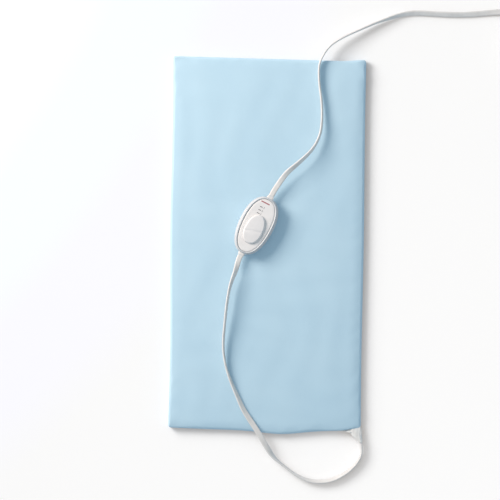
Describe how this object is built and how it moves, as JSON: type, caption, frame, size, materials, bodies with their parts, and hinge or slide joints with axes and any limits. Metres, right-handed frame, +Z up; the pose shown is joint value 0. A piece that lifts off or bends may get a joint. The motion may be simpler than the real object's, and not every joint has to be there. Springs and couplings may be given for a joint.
{
  "type": "heating pad with slide controller",
  "caption": "Flat cloth-covered electric heating pad with an egg-shaped in-line slide controller on a flat cord, its spare supply cord coiled with a two-blade plug.",
  "frame": {"origin": "under the middle of the pad, on the surface that the pad lies on", "axes": "+Y along the pad's length, away from the corner where the lead comes out, +X across the pad towards that corner's side, +Z up"},
  "size_m": [0.6805, 0.782, 0.0382],
  "materials": {
    "cover_cloth": "soft brushed cloth, pale blue",
    "bag_vinyl": "soft white vinyl, satin",
    "felt": "needled felt",
    "heating_wire": "insulated heating wire",
    "hook_up_wire": "insulated hook-up wire",
    "thermostat": "dark sleeved capsule",
    "case_plastic": "fine satin moulded white",
    "cord_vinyl": "white flexible vinyl",
    "inner_plastic": "dark moulded plastic",
    "board": "resin-bonded paper board",
    "brass": "stamped, bright",
    "steel": "zinc-plated",
    "strap": "soft white strap"
  },
  "bodies": {
    "pad": {"pad_cover": "cover_cloth", "vinyl_sheet_bottom": "bag_vinyl", "vinyl_sheet_top": "bag_vinyl", "pad_strain_relief": "bag_vinyl", "felt_bottom": "felt", "felt_top": "felt", "heating_wire_a_near": "heating_wire", "heating_wire_a_far": "heating_wire", "heating_wire_b_near": "heating_wire", "heating_wire_b_far": "heating_wire", "live_wire": "hook_up_wire", "neutral_wire": "hook_up_wire", "circuit_a_wire": "hook_up_wire", "circuit_b_wire": "hook_up_wire", "thermostat_a": "thermostat", "thermostat_b": "thermostat", "controller_case": "case_plastic", "controller_lid": "case_plastic", "pad_lead": "cord_vinyl", "supply_cord": "cord_vinyl", "supply_cord_coil": "cord_vinyl", "supply_cord_tail": "cord_vinyl", "supply_cord_grommet": "cord_vinyl", "lead_cord_grommet": "cord_vinyl", "plug_body": "cord_vinyl", "plug_strain_relief": "cord_vinyl", "contact_board": "board", "contact_common": "brass", "contact_circuit_a": "brass", "contact_circuit_b": "brass", "plug_blade_live": "brass", "plug_blade_neutral": "brass", "detent_spring": "steel", "case_screw_1": "steel", "case_screw_2": "steel", "cord_strap": "strap"},
    "slider": {"thumb_slider": "case_plastic", "slide_carriage": "inner_plastic", "moving_contact": "brass"}
  },
  "joints": [
    {"name": "heat_slide", "type": "slide", "parent": "pad", "child": "slider", "axis": [0.4462, 0.8949, 0], "range_m": [0, 0.0165], "deforming": ["detent_spring"]}
  ]
}
